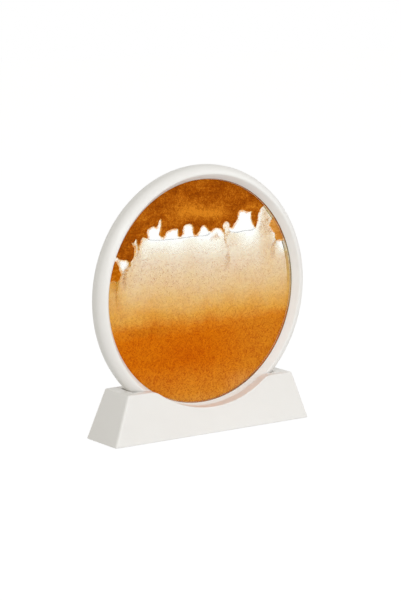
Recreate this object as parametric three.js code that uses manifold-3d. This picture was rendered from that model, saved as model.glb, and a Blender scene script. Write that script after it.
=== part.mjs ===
// Moving sand art frame: a round sealed sand picture in a plastic ring, standing in a slotted base.
// Millimetres, +Z up, +X to the right and -Y to the front. The origin is on the table under the middle.

import * as THREE from 'three';
import { mergeVertices } from 'three/addons/utils/BufferGeometryUtils.js';
import Module from 'manifold-3d';

const wasm = await Module();
wasm.setup();

// Ring
const ringRadius = 90;
const ringFaceWidth = 9.95;
const rimRound = 6.7;
const rimBand = 2.1;
const rimWall = 1.6;
const lipSlope = THREE.MathUtils.degToRad(36);
const lipRound = 1.2;
const lockTongueHeight = 1.2;
const lockTongueWidth = 0.7;
const glassRibCount = 12;
const glassRibWidth = 1.2;
const glassRibDepth = 3.6;

// Sealed cell
const cellGap = 2.4;
const glassThickness = 1.1;
const glassMargin = 4.45;
const gasketThickness = 0.3;
const gasketReach = 0.15;
const gasketWidth = 2.05;
const sealReach = 0.45;
const sealWidth = 4.4;
const plugWidth = 4;
const plugHeadWidth = 7;
const plugHeadHeight = 1;
const sandThickness = 1.2;
const rainThickness = 0.4;
const streamWidth = 0.9;

// Base
const baseHeight = 34.9;
const baseEndWidth = 8.8;
const baseEndFlare = 13;
const baseSideWidth = 6.85;
const baseSideFlare = 3.8;
const baseCorner = 2;
const baseTopRound = 1;
const baseWall = 2.2;
const wellFloorHeight = 9.1;
const wellSkin = 1.8;
const scoopMargin = 0.75;
const scoopShoulder = 14;
const baseRibSpacing = 18;
const baseRibWidth = 1.6;
const bossRadius = 3.4;

// Bottom plate, feet and screws
const plateThickness = 2;
const plateInset = 0.4;
const platePadRadius = 4.4;
const platePadHeight = 2;
const footEndInset = 11;
const footSideInset = 8.5;
const footRadius = 4.5;
const footHeight = 2;
const footStandProud = 0.8;
const footChamfer = 0.4;
const screwFootSpacing = 20;
const screwRadius = 1.2;
const screwLength = 11;
const screwHeadRadius = 2.8;
const screwHeadHeight = 1.6;
const screwHeadChamfer = 0.5;
const screwSlotLength = 3.2;
const screwSlotWidth = 0.7;
const screwSlotDepth = 0.9;

// Clearances
const fitGap = 0.3;
const slotGap = 0.5;
const screwGap = 0.4;
const screwTipGap = 2.1;

// Facets
const ringSteps = 60;
const wellSteps = 100;
const roundSteps = 16;
const edgeSteps = 6;
const cutReach = 10;

// Ring and cell sizes that follow from the sizes above
const viewRadius = ringRadius - ringFaceWidth;
const glassInnerY = cellGap / 2;
const glassOuterY = glassInnerY + glassThickness;
const lipFootY = glassOuterY + gasketThickness;
const glassRadius = viewRadius + glassMargin;
const sealInner = viewRadius - sealReach;
const sealOuter = sealInner + sealWidth;
const sandRadius = sealInner - fitGap;
const sandBackY = sandThickness - glassInnerY;
const rainFrontY = sandBackY - rainThickness;
const streamBackY = rainFrontY - fitGap;
const waterFrontY = sandBackY + fitGap;
const waterBackY = glassInnerY - fitGap;

// Base sizes that follow: the slot is made for the ring, and the block for the slot
const baseBottomZ = footStandProud;
const baseTopZ = baseBottomZ + baseHeight;
const wellRadius = ringRadius + fitGap;
const wellHalfWidth = rimBand / 2 + rimRound + slotGap;
const ringCentreZ = baseBottomZ + wellFloorHeight + wellRadius;
const wellMouthX = Math.sqrt(wellRadius ** 2 - (ringCentreZ - baseTopZ) ** 2);
const scoopRadius = viewRadius + scoopMargin;
const baseTopX = wellMouthX + baseEndWidth;
const baseBottomX = baseTopX + baseEndFlare;
const baseTopY = wellHalfWidth + baseSideWidth;
const baseBottomY = baseTopY + baseSideFlare;

// Places of the feet and screws, and heights inside the base
const footX = baseBottomX - footEndInset;
const footY = baseBottomY - footSideInset;
const screwX = footX - screwFootSpacing;
const plateBottomZ = baseBottomZ + plateInset;
const plateTopZ = plateBottomZ + plateThickness;
const padTopZ = plateTopZ + platePadHeight;
const screwSeatZ = plateBottomZ + screwHeadHeight + fitGap;
const pilotTopZ = screwSeatZ + screwLength + screwTipGap;

// Sand picture, in hundredths of its radius from the ring's centre: right, then up.
// The upper sand hangs over a row of air pockets. Each drip has its tip, then the crown of the
// pocket to its right, and how far the crown's round reaches to the left and to the right.
const hangingSand = {
  columnFoot: [[-87.3, 35.8], [-80.9, 34.8]],
  drips: [
    { tip: [-77, 31.9], crown: [-71.4, 52.3], reach: [1.6, 1.2] },
    { tip: [-68.6, 43.7], crown: [-62.8, 53.3], reach: [3.1, 2] },
    { tip: [-58.5, 51.9], crown: [-52.9, 62.1], reach: [4.7, 2] },
    { tip: [-49.2, 60.8], crown: [-45.2, 68.6], reach: [0.8, 1.2] },
    { tip: [-42.5, 51.2], crown: [-30.9, 58.3], reach: [9.2, 8.6] },
    { tip: [-23.4, 50.5], crown: [-15.4, 61.3], reach: [6.6, 7.2] },
    { tip: [-6.7, 50.8], crown: [2, 59.5], reach: [4.5, 4.1] },
    { tip: [10.3, 52.7], crown: [17, 56], reach: [4.1, 4.1] },
    { tip: [23, 51.2], crown: [26.7, 61.3], reach: [1.6, 2.5] },
    { tip: [32.3, 54.5], crown: [43.6, 69.6], reach: [5.1, 2.7] },
    { tip: [50.3, 67.5], crown: [54.9, 68.2], reach: [2, 2] },
  ],
  lastTip: [60.3, 52.7],
  end: [[63.1, 64.4], [66.8, 70.8]],
  tipRound: 1.7,
};
const settledSand = {
  surface: [[-77.8, -27], [-46.1, -27.6], [3.1, -28.3], [54.3, -27.1]],
  wallUps: [-25.8, -24.9],
};
const fallingSand = {
  top: [
    [-86, 14.1], [-83.6, 22.5], [-81.4, 29.3], [-73.7, 33.8], [-66.6, 43], [-56.3, 44.5], [0, 43.5], [41, 44.5],
    [60, 46.1], [63.9, 56.9], [68.2, 67], [70.2, 68], [77, 60.8], [74.3, 54.3], [77.8, 48.5], [82.3, 38.9],
    [81.9, 32.4],
  ],
  wallUps: [13.7, 29.7],
};
const leftLump = {
  edge: [[-90.4, 32.6], [-88.1, 27.2], [-86.6, 23.1], [-88.1, 19], [-90.8, 16.4], [-93.7, 17.6]],
  wallUps: [34.4, 17.4],
};
const rightLump = {
  edge: [[82.5, 40.1], [79.8, 49.2], [76.5, 54.3], [78.4, 57.6]],
  wallUps: [39.5, 60.8],
};
const streams = [
  {
    from: hangingSand.drips[8].tip,
    path: [[0.6, -3.1], [1.4, -8.2], [3.5, -13.3], [5.5, -17.4], [5.1, -25.6], [4.9, -32.8]],
  },
  { from: hangingSand.drips[1].tip, path: [[-0.6, -3.1], [-1.2, -7.2]] },
  { from: hangingSand.drips[0].tip, path: [[-2, -3.5], [-5.1, -8.2], [-6.1, -14.3]] },
  { from: leftLump.edge[4], path: [[0.2, -4.1], [-0.8, -9.2], [-0.4, -15.4]] },
  { from: [rightLump.edge[0][0], rightLump.wallUps[0]], path: [[-1, -4.7], [-3.1, -9.2], [-2.5, -14.3]] },
];

// Solids

function toSolid(geometry) {
  geometry.deleteAttribute('normal');
  geometry.deleteAttribute('uv');
  const merged = mergeVertices(geometry, 1e-4);
  return new wasm.Manifold(new wasm.Mesh({
    numProp: 3,
    vertProperties: new Float32Array(merged.attributes.position.array),
    triVerts: new Uint32Array(merged.index.array),
  }));
}

function toGeometry(solid) {
  const mesh = solid.getMesh();
  const geometry = new THREE.BufferGeometry();
  geometry.setAttribute('position', new THREE.BufferAttribute(mesh.vertProperties, 3));
  geometry.setIndex(new THREE.BufferAttribute(mesh.triVerts, 1));
  geometry.computeVertexNormals();
  return geometry;
}

// A closed outline of [radius, y] pairs turned about the ring's axis
function revolve(outline, steps = ringSteps) {
  const points = outline.map(([radius, y]) => new THREE.Vector2(radius, y));
  return new THREE.LatheGeometry(points, steps);
}

function disc(radius, yFront, yBack, steps = ringSteps) {
  return revolve([[0, yFront], [radius, yFront], [radius, yBack], [0, yBack]], steps);
}

function band(inner, outer, yFront, yBack) {
  return revolve([
    [inner, yFront], [outer, yFront], [outer, yBack], [inner, yBack], [inner, yFront],
  ]);
}

// A flat shape drawn in X and Z, standing between two depths
function plate(shape, yFront, yBack, curveSegments) {
  const geometry = new THREE.ExtrudeGeometry(shape, {
    depth: yBack - yFront, bevelEnabled: false, curveSegments,
  });
  return geometry.rotateX(Math.PI / 2).translate(0, yBack, 0);
}

function box(x0, x1, y0, y1, z0, z1) {
  const geometry = new THREE.BoxGeometry(x1 - x0, y1 - y0, z1 - z0);
  return geometry.translate((x0 + x1) / 2, (y0 + y1) / 2, (z0 + z1) / 2);
}

// An upright round post or hole
function post(radius, z0, z1, x, y) {
  const geometry = new THREE.CylinderGeometry(radius, radius, z1 - z0, roundSteps);
  return geometry.rotateX(Math.PI / 2).translate(x, y, (z0 + z1) / 2);
}

// A body through level sections, each a rectangle with round corners
function loft(sections) {
  const cornerSteps = 2;
  const rings = sections.map(({ z, halfLength, halfDepth, corner }) => {
    const ring = [];
    for (let quarter = 0; quarter < 4; quarter += 1) {
      const signX = quarter === 0 || quarter === 3 ? 1 : -1;
      const signY = quarter < 2 ? 1 : -1;
      for (let step = 0; step <= cornerSteps; step += 1) {
        const angle = (quarter + step / cornerSteps) * Math.PI / 2;
        ring.push([
          signX * (halfLength - corner) + corner * Math.cos(angle),
          signY * (halfDepth - corner) + corner * Math.sin(angle),
          z,
        ]);
      }
    }
    return ring;
  });
  const count = rings[0].length;
  const index = [];
  for (let level = 0; level + 1 < rings.length; level += 1) {
    for (let i = 0; i < count; i += 1) {
      const a = level * count + i;
      const b = level * count + (i + 1) % count;
      index.push(a, b, b + count, a, b + count, a + count);
    }
  }
  const top = (rings.length - 1) * count;
  for (let i = 1; i + 1 < count; i += 1) {
    index.push(0, i + 1, i);
    index.push(top, top + i, top + i + 1);
  }
  const geometry = new THREE.BufferGeometry();
  geometry.setAttribute('position', new THREE.Float32BufferAttribute(rings.flat(2), 3));
  geometry.setIndex(index);
  return geometry;
}

// Ring shells

// Half of the ring: a sloped inner lip, a round outer edge and an open back. The front is at -Y.
function shellOutline(lockPoints) {
  const slope = new THREE.Vector2(Math.sin(lipSlope), -Math.cos(lipSlope));
  const inward = new THREE.Vector2(Math.cos(lipSlope), Math.sin(lipSlope));
  const foot = new THREE.Vector2(viewRadius, -lipFootY);
  const edgeCentre = new THREE.Vector2(ringRadius - rimRound, -rimBand / 2);

  // Where a line beside the lip's slope comes to a given distance from the edge's centre
  const reach = (offset, distance) => {
    const start = foot.clone().addScaledVector(inward, offset);
    const toStart = start.clone().sub(edgeCentre);
    const along = toStart.dot(slope);
    const travel = -along + Math.sqrt(along ** 2 - toStart.lengthSq() + distance ** 2);
    return start.addScaledVector(slope, travel);
  };
  const arc = (centre, radius, from, to, steps) => {
    const points = [];
    for (let i = 0; i <= steps; i += 1) {
      const angle = from + (to - from) * i / steps;
      points.push([centre.x + radius * Math.cos(angle), centre.y + radius * Math.sin(angle)]);
    }
    return points;
  };

  const crest = reach(lipRound, rimRound - lipRound);
  const crestEnd = crest.clone().sub(edgeCentre).angle() - 2 * Math.PI;
  const innerCorner = reach(rimWall, rimRound - rimWall);
  const innerAngle = innerCorner.clone().sub(edgeCentre).angle() - 2 * Math.PI;
  return [
    [foot.x, foot.y],
    ...arc(crest, lipRound, lipSlope - Math.PI, crestEnd, 2),
    ...arc(edgeCentre, rimRound, crestEnd, 0, edgeSteps).slice(1),
    ...lockPoints,
    ...arc(edgeCentre, rimRound - rimWall, 0, innerAngle, 3),
    [foot.x + rimWall / Math.cos(lipSlope), foot.y],
    [foot.x, foot.y],
  ];
}

// A half ring with ribs that stand in from the rim's wall, clear of the lock, and centre the glass
function ribbedShell(lockPoints) {
  const outline = shellOutline(lockPoints);
  let shell = toSolid(revolve(outline));
  const skinEnd = outline.findIndex(([radius]) => radius >= ringRadius);
  const filled = [...outline.slice(0, skinEnd + 1), [ringRadius, 0], [viewRadius, 0], outline[0]];
  const envelope = toSolid(revolve(filled));
  const ribEndY = -lockTongueHeight - fitGap;
  for (let i = 0; i < glassRibCount; i += 1) {
    const angle = (i + 0.5) * 2 * Math.PI / glassRibCount;
    const rib = box(
      glassRadius + fitGap, ringRadius - rimWall / 2,
      ribEndY - glassRibDepth, ribEndY,
      -glassRibWidth / 2, glassRibWidth / 2,
    );
    shell = shell.add(toSolid(rib.rotateY(angle)).intersect(envelope));
  }
  return toGeometry(shell);
}

function ringFrontShell() {
  const tongueInner = ringRadius - rimWall;
  const tongueOuter = tongueInner + lockTongueWidth;
  return ribbedShell([
    [ringRadius, 0], [tongueOuter, 0], [tongueOuter, lockTongueHeight], [tongueInner, lockTongueHeight],
  ]);
}

function ringRearShell() {
  const rebateRadius = ringRadius - rimWall + lockTongueWidth + fitGap;
  const rebateY = -lockTongueHeight - fitGap;
  return ribbedShell([
    [ringRadius, 0], [rebateRadius, 0], [rebateRadius, rebateY], [ringRadius - rimWall, rebateY],
  ]).rotateZ(Math.PI);
}

// Sealed cell

function cellSeal() {
  const ring = toSolid(band(sealInner, sealOuter, -glassInnerY, glassInnerY));
  const gate = box(
    -plugWidth / 2 - fitGap, plugWidth / 2 + fitGap,
    -cellGap, cellGap,
    sealInner - cutReach, sealOuter + cutReach,
  );
  return toGeometry(ring.subtract(toSolid(gate)));
}

// The stopper of the filling gap: a stem between the panes and a head that rests on their edges
function fillPlug() {
  const headY = glassInnerY + glassThickness / 2;
  const stem = box(
    -plugWidth / 2, plugWidth / 2, -glassInnerY, glassInnerY,
    sealInner, glassRadius + fitGap + plugHeadHeight / 2,
  );
  const head = box(
    -plugHeadWidth / 2, plugHeadWidth / 2, -headY, headY,
    glassRadius + fitGap, glassRadius + fitGap + plugHeadHeight,
  );
  return toGeometry(toSolid(stem).add(toSolid(head)));
}

function gasket() {
  const inner = viewRadius - gasketReach;
  return band(inner, inner + gasketWidth, -lipFootY, -glassOuterY);
}

// Sand picture

const pictureScale = sandRadius / 100;

function place([right, up]) {
  return new THREE.Vector2(right * pictureScale, up * pictureScale);
}

function wallAngle(up) {
  return Math.asin(up / 100);
}

function wallPoint(side, up) {
  const angle = wallAngle(up);
  return new THREE.Vector2(side * sandRadius * Math.cos(angle), sandRadius * Math.sin(angle));
}

// Follows the round edge of the cell, turning anticlockwise where the angle grows
function alongWall(shape, fromAngle, toAngle) {
  const steps = Math.ceil(Math.abs(toAngle - fromAngle) / (2 * Math.PI) * ringSteps);
  for (let i = 1; i <= steps; i += 1) {
    const angle = fromAngle + (toAngle - fromAngle) * i / steps;
    shape.lineTo(sandRadius * Math.cos(angle), sandRadius * Math.sin(angle));
  }
}

function pocketEdge(shape, { tip, crown, reach }, nextTip) {
  const low = place(tip);
  const high = place(crown);
  const end = place(nextTip);
  const round = hangingSand.tipRound * pictureScale;
  shape.bezierCurveTo(low.x + round, low.y, high.x - reach[0] * pictureScale, high.y, high.x, high.y);
  shape.bezierCurveTo(high.x + reach[1] * pictureScale, high.y, end.x - round, end.y, end.x, end.y);
}

function upperSand() {
  const { columnFoot, drips, lastTip, end } = hangingSand;
  const shape = new THREE.Shape();
  const startUp = columnFoot[0][1];
  const start = wallPoint(-1, startUp);
  shape.moveTo(start.x, start.y);
  shape.splineThru([...columnFoot, drips[0].tip].map(place));
  drips.forEach((drip, i) => pocketEdge(shape, drip, i + 1 < drips.length ? drips[i + 1].tip : lastTip));
  const endUp = end[end.length - 1][1];
  shape.splineThru([...end.map(place), wallPoint(1, endUp)]);
  alongWall(shape, wallAngle(endUp), Math.PI - wallAngle(startUp));
  return plate(shape, -glassInnerY, sandBackY, 4);
}

function sandBed() {
  const { surface, wallUps } = settledSand;
  const shape = new THREE.Shape();
  const start = wallPoint(1, wallUps[1]);
  shape.moveTo(start.x, start.y);
  shape.splineThru([...surface.map(place).reverse(), wallPoint(-1, wallUps[0])]);
  alongWall(shape, Math.PI - wallAngle(wallUps[0]), 2 * Math.PI + wallAngle(wallUps[1]));
  return plate(shape, -glassInnerY, sandBackY, 5);
}

// Grains that rain down between the air pockets and the bed
function sandRain() {
  const lift = fitGap / pictureScale;
  const [floorLeft, floorRight] = settledSand.wallUps.map((up) => up + lift);
  const [topLeft, topRight] = fallingSand.wallUps;
  const shape = new THREE.Shape();
  const start = wallPoint(-1, floorLeft);
  shape.moveTo(start.x, start.y);
  const floor = settledSand.surface.map(([right, up]) => place([right, up + lift]));
  shape.splineThru([...floor, wallPoint(1, floorRight)]);
  alongWall(shape, wallAngle(floorRight), wallAngle(topRight));
  shape.splineThru([...fallingSand.top.map(place).reverse(), wallPoint(-1, topLeft)]);
  alongWall(shape, Math.PI - wallAngle(topLeft), Math.PI - wallAngle(floorLeft));
  return plate(shape, rainFrontY, sandBackY, 3);
}

// A patch of sand left at the edge of the glass
function sandLump(side, { edge, wallUps }) {
  const shape = new THREE.Shape();
  const start = wallPoint(side, wallUps[0]);
  shape.moveTo(start.x, start.y);
  shape.splineThru([...edge.map(place), wallPoint(side, wallUps[1])]);
  const [fromAngle, toAngle] = wallUps.map((up) => (side > 0 ? wallAngle(up) : Math.PI - wallAngle(up)));
  alongWall(shape, toAngle, fromAngle);
  return plate(shape, -glassInnerY, sandBackY, 3);
}

// A thread of sand that falls from a drip
function sandStream({ from, path }) {
  const source = place(from);
  const first = source.clone().setY(source.y - fitGap);
  const rest = path.map(([right, up]) => place([from[0] + right, from[1] + up]));
  const curve = new THREE.SplineCurve([first, ...rest]);
  const count = 3 * path.length;
  const left = [];
  const right = [];
  for (let i = 0; i <= count; i += 1) {
    const point = curve.getPoint(i / count);
    const tangent = curve.getTangent(i / count);
    const half = streamWidth / 2;
    left.push(new THREE.Vector2(point.x - tangent.y * half, Math.min(point.y + tangent.x * half, first.y)));
    right.push(new THREE.Vector2(point.x + tangent.y * half, Math.min(point.y - tangent.x * half, first.y)));
  }
  const shape = new THREE.Shape([...left, ...right.reverse()]);
  return plate(shape, -glassInnerY, streamBackY);
}

// Base

function baseHalves(z) {
  const rise = (z - baseBottomZ) / baseHeight;
  return {
    halfLength: THREE.MathUtils.lerp(baseBottomX, baseTopX, rise),
    halfDepth: THREE.MathUtils.lerp(baseBottomY, baseTopY, rise),
  };
}

function baseSection(z, inset, corner) {
  const { halfLength, halfDepth } = baseHalves(z);
  return { z, halfLength: halfLength - inset, halfDepth: halfDepth - inset, corner };
}

function baseBlock() {
  const sections = [baseSection(baseBottomZ, 0, baseCorner)];
  const steps = 3;
  for (let i = 0; i <= steps; i += 1) {
    const angle = i / steps * Math.PI / 2;
    const z = baseTopZ - baseTopRound * (1 - Math.sin(angle));
    sections.push(baseSection(z, baseTopRound * (1 - Math.cos(angle)), baseCorner));
  }
  return toSolid(loft(sections));
}

// The slot that the ring stands in, as wide and deep as the ring plus a margin
function well(margin, sideMargin) {
  const radius = (wellRadius + margin) / Math.cos(Math.PI / wellSteps);
  const half = wellHalfWidth + sideMargin;
  return toSolid(disc(radius, -half, half, wellSteps).translate(0, 0, ringCentreZ));
}

// The hollow in the front and back walls that follows the edge of the picture
function scoop(offset) {
  const shoulderZ = baseTopZ - scoopShoulder;
  const rise = ringCentreZ - shoulderZ;
  const shoulderX = Math.sqrt((scoopRadius + scoopShoulder) ** 2 - rise ** 2);
  const turn = Math.atan2(rise, shoulderX);
  const shape = new THREE.Shape();
  shape.moveTo(-shoulderX, baseTopZ + cutReach);
  shape.lineTo(-shoulderX, baseTopZ - offset);
  shape.absarc(-shoulderX, shoulderZ, scoopShoulder - offset, Math.PI / 2, turn, true);
  shape.absarc(0, ringCentreZ, scoopRadius + offset, Math.PI + turn, 2 * Math.PI - turn, false);
  shape.absarc(shoulderX, shoulderZ, scoopShoulder - offset, Math.PI - turn, Math.PI / 2, true);
  shape.lineTo(shoulderX, baseTopZ + cutReach);
  const reachY = baseBottomY + cutReach;
  return toSolid(plate(shape, -reachY, reachY, 12));
}

// Left front, right front, left back and right back
function fourPlaces(x, y) {
  return [[-x, -y], [x, -y], [-x, y], [x, y]];
}

function screwPlaces() {
  return fourPlaces(screwX, footY);
}

function footPlaces() {
  return fourPlaces(footX, footY);
}

function baseShell() {
  let hollow = toSolid(loft([
    baseSection(baseBottomZ - cutReach, baseWall, baseCorner),
    baseSection(baseTopZ - baseWall, baseWall, baseCorner),
  ]));
  hollow = hollow.subtract(well(wellSkin, wellSkin)).subtract(scoop(baseWall));
  for (const ribX of [-1.5, -0.5, 0.5, 1.5].map((place) => place * baseRibSpacing)) {
    const rib = box(
      ribX - baseRibWidth / 2, ribX + baseRibWidth / 2,
      -baseBottomY, baseBottomY, plateTopZ, baseTopZ,
    );
    hollow = hollow.subtract(toSolid(rib));
  }
  for (const [x, y] of screwPlaces()) {
    hollow = hollow.subtract(toSolid(post(bossRadius, padTopZ, baseTopZ, x, y)));
  }
  let shell = baseBlock().subtract(well(0, 0)).subtract(scoop(0)).subtract(hollow);
  for (const [x, y] of screwPlaces()) {
    shell = shell.subtract(toSolid(post(screwRadius + fitGap, padTopZ - cutReach, pilotTopZ, x, y)));
  }
  return toGeometry(shell);
}

function bottomPlate() {
  const { halfLength, halfDepth } = baseHalves(plateTopZ);
  const inset = baseWall + fitGap;
  const outline = { halfLength: halfLength - inset, halfDepth: halfDepth - inset, corner: baseCorner };
  let solid = toSolid(loft([{ z: plateBottomZ, ...outline }, { z: plateTopZ, ...outline }]));
  for (const [x, y] of screwPlaces()) {
    solid = solid.add(toSolid(post(platePadRadius, plateBottomZ + plateThickness / 2, padTopZ, x, y)));
    const counterbore = post(screwHeadRadius + screwGap, plateBottomZ - cutReach, screwSeatZ, x, y);
    solid = solid.subtract(toSolid(counterbore));
    const hole = post(screwRadius + screwGap, plateBottomZ - cutReach, padTopZ + cutReach, x, y);
    solid = solid.subtract(toSolid(hole));
  }
  for (const [x, y] of footPlaces()) {
    const recess = post(footRadius + fitGap, plateBottomZ - cutReach, footHeight, x, y);
    solid = solid.subtract(toSolid(recess));
  }
  return toGeometry(solid);
}

// A screw with a cross slot in its head
function screw() {
  const profile = [
    [0, -screwHeadHeight],
    [screwHeadRadius - screwHeadChamfer, -screwHeadHeight],
    [screwHeadRadius, screwHeadChamfer - screwHeadHeight],
    [screwHeadRadius, 0],
    [screwRadius, 0],
    [screwRadius, screwLength - screwRadius],
    [0, screwLength],
  ];
  let solid = toSolid(revolve(profile, roundSteps).rotateX(Math.PI / 2));
  const [along, across] = [screwSlotLength / 2, screwSlotWidth / 2];
  const slotTop = screwSlotDepth - screwHeadHeight;
  const slotBottom = -screwHeadHeight - cutReach;
  solid = solid.subtract(toSolid(box(-along, along, -across, across, slotBottom, slotTop)));
  solid = solid.subtract(toSolid(box(-across, across, -along, along, slotBottom, slotTop)));
  return toGeometry(solid);
}

function foot() {
  const profile = [
    [0, 0],
    [footRadius - footChamfer, 0],
    [footRadius, footChamfer],
    [footRadius, footHeight],
    [0, footHeight],
  ];
  return revolve(profile, roundSteps).rotateX(Math.PI / 2);
}

// Materials

function plastic() {
  return new THREE.MeshStandardMaterial({ color: 0xebe8e4, roughness: 0.38, metalness: 0 });
}

function clear() {
  return new THREE.MeshStandardMaterial({
    color: 0xf4f8f5, roughness: 0.04, metalness: 0, transparent: true, opacity: 0.18,
  });
}

function water() {
  return new THREE.MeshStandardMaterial({
    color: 0xfbf8f2, roughness: 0.02, metalness: 0, transparent: true, opacity: 0.1,
  });
}

function darkRubber() {
  return new THREE.MeshStandardMaterial({ color: 0x4a4c40, roughness: 0.8, metalness: 0 });
}

function greyRubber() {
  return new THREE.MeshStandardMaterial({ color: 0xb9b6b0, roughness: 0.85, metalness: 0 });
}

function steel() {
  return new THREE.MeshStandardMaterial({ color: 0xb8b9ba, roughness: 0.35, metalness: 1 });
}

function darkSand() {
  return new THREE.MeshStandardMaterial({ color: 0xb4590c, roughness: 0.95, metalness: 0 });
}

function brightSand() {
  return new THREE.MeshStandardMaterial({ color: 0xd0741a, roughness: 0.95, metalness: 0 });
}

function paleSand() {
  return new THREE.MeshStandardMaterial({ color: 0xefd9b4, roughness: 0.95, metalness: 0 });
}

// Assembly

const frame = new THREE.Group();
const base = new THREE.Group();
const ring = new THREE.Group();
ring.position.z = ringCentreZ;
frame.add(base, ring);

function addPiece(group, name, geometry, material) {
  const mesh = new THREE.Mesh(geometry, material);
  mesh.name = name;
  group.add(mesh);
  return mesh;
}

addPiece(base, 'base_shell', baseShell(), plastic());
addPiece(base, 'bottom_plate', bottomPlate(), plastic());
screwPlaces().forEach(([x, y], i) => {
  addPiece(base, `base_screw_${i + 1}`, screw(), steel()).position.set(x, y, screwSeatZ);
});
footPlaces().forEach(([x, y], i) => {
  addPiece(base, `foot_pad_${i + 1}`, foot(), greyRubber()).position.set(x, y, 0);
});

addPiece(ring, 'ring_front_shell', ringFrontShell(), plastic());
addPiece(ring, 'ring_rear_shell', ringRearShell(), plastic());
addPiece(ring, 'glass_front', disc(glassRadius, -glassOuterY, -glassInnerY), clear());
addPiece(ring, 'glass_rear', disc(glassRadius, glassInnerY, glassOuterY), clear());
addPiece(ring, 'gasket_front', gasket(), darkRubber());
addPiece(ring, 'gasket_rear', gasket().rotateX(Math.PI), darkRubber());
addPiece(ring, 'cell_seal', cellSeal(), darkRubber());
addPiece(ring, 'fill_plug', fillPlug(), darkRubber());
addPiece(ring, 'water', disc(sandRadius, waterFrontY, waterBackY), water());
addPiece(ring, 'sand_upper', upperSand(), darkSand());
addPiece(ring, 'sand_bed', sandBed(), brightSand());
addPiece(ring, 'sand_lump_left', sandLump(-1, leftLump), darkSand());
addPiece(ring, 'sand_lump_right', sandLump(1, rightLump), brightSand());
addPiece(ring, 'sand_rain', sandRain(), paleSand());
streams.forEach((stream, i) => {
  addPiece(ring, `sand_stream_${i + 1}`, sandStream(stream), darkSand());
});

export default frame;
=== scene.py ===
"""Looks of the moving sand art frame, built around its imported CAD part. Metres, in the part's own frame."""

import math

import bmesh
import bpy
import numpy as np
from mathutils import Matrix, Vector


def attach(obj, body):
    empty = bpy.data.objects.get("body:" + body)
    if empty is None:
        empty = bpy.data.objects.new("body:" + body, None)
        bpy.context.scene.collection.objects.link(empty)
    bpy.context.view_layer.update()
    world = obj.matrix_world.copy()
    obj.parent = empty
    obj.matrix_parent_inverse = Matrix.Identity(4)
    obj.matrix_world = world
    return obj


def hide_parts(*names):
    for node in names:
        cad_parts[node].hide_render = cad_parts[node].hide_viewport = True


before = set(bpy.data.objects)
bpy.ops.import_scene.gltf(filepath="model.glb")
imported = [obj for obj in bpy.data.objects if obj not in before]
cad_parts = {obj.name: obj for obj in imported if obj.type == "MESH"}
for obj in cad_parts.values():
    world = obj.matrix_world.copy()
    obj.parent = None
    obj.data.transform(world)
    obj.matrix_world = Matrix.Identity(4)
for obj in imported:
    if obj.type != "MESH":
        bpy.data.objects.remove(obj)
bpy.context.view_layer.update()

MM = 0.001
RING_CENTRE = Vector((0, 0, 0.1002))
VIEW_RADIUS = 80.05
SEAL_INNER = 79.6
TURNED_SHARP = 35


# Small tools

def linear(rgb):
    """An sRGB colour of 0 to 255, as a linear colour with full alpha."""
    shares = [value / 255 for value in rgb]
    return (*[c / 12.92 if c <= 0.04045 else ((c + 0.055) / 1.055) ** 2.4 for c in shares], 1)


def add_object(name, data):
    obj = bpy.data.objects.new(name, data)
    bpy.context.scene.collection.objects.link(obj)
    return obj


def smooth_faces(mesh, sharp_over):
    """Shades the faces smooth, but keeps edges over an angle in degrees sharp."""
    mesh.polygons.foreach_set("use_smooth", [True] * len(mesh.polygons))
    mesh.set_sharp_from_angle(angle=math.radians(sharp_over))


def new_piece(name, verts, faces, material, body=None, nodes=(), sharp_over=None):
    """A mesh piece from points in metres. It rides on body and replaces the CAD nodes."""
    mesh = bpy.data.meshes.new(name)
    mesh.from_pydata([tuple(v) for v in verts], [], faces)
    mesh.validate()
    mesh.materials.append(material)
    obj = add_object(name, mesh)
    if sharp_over:
        smooth_faces(mesh, sharp_over)
    if body:
        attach(obj, body)
    if nodes:
        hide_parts(*nodes)
    return obj


def ring_point(x, y, z):
    """A point in mm from the ring's centre, in metres in the part's frame."""
    return (x * MM, y * MM, z * MM + RING_CENTRE.z)


def sweep(rings, closed=False):
    """Points and faces through rings of points of the same count, with end caps unless it is closed."""
    count = len(rings[0])
    verts = [point for ring in rings for point in ring]
    faces = []
    if not closed:
        faces = [tuple(reversed(range(count))), tuple(range(len(verts) - count, len(verts)))]
    for i in range(len(rings) if closed else len(rings) - 1):
        a, b = i * count, (i + 1) % len(rings) * count
        faces += [(a + j, a + (j + 1) % count, b + (j + 1) % count, b + j) for j in range(count)]
    return verts, faces


def turned(outline, angles):
    """An outline of (radius, y) in mm at each of the angles about the ring's axis."""
    return [[ring_point(r * math.cos(a), y, r * math.sin(a)) for r, y in outline] for a in angles]


def lathe(outline, steps):
    """A closed outline of (radius, y) in mm, turned full circle about the ring's axis."""
    return sweep(turned(outline, [2 * math.pi * i / steps for i in range(steps)]), closed=True)


# Camera

AZIMUTH, ELEVATION, ROLL = (math.radians(a) for a in (-36.114, 9.639, 0.374))
FOCAL_PIXELS = 2054.19
CAMERA_DISTANCE = 1.4561
FRAME_WIDTH, FRAME_HEIGHT = 401, 601
CENTRE_PIXEL = (200.854, 290.876)
SENSOR_WIDTH = 36


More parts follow.
